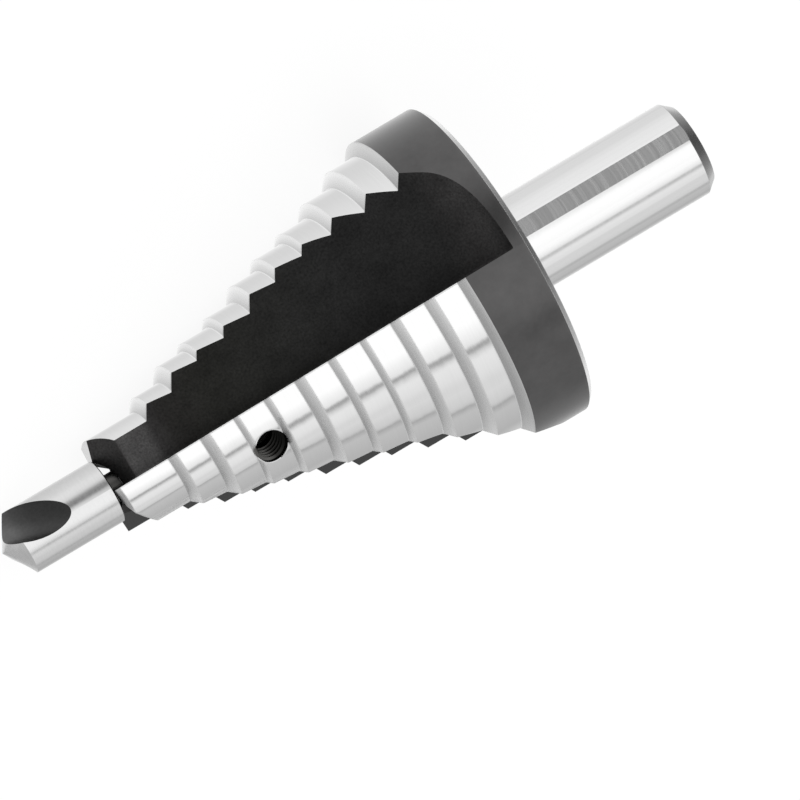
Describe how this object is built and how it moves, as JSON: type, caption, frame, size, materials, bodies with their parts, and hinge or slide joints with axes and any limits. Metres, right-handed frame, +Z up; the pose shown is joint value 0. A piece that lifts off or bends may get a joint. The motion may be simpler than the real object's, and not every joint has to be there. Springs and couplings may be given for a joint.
{
  "type": "step drill",
  "caption": "Stepped cone drill with straight flutes, a thick collar, a plain shank with grip flats and a replaceable pilot drill.",
  "frame": {"origin": "bottom centre of the bounding box of the drill as it lies at rest", "axes": "+Z up from the bench; the drill's axis lies in the XZ plane and rises towards the shank at +X"},
  "size_m": [0.0928, 0.0404, 0.0398],
  "materials": {
    "ground_steel": "ground bright lands, black oxide flutes and collar",
    "pilot_steel": "ground bright, dark gouges",
    "black_steel": "black oxide"
  },
  "bodies": {
    "root": {"drill_body": "ground_steel", "pilot_drill": "pilot_steel", "set_screw": "black_steel"}
  },
  "joints": []
}
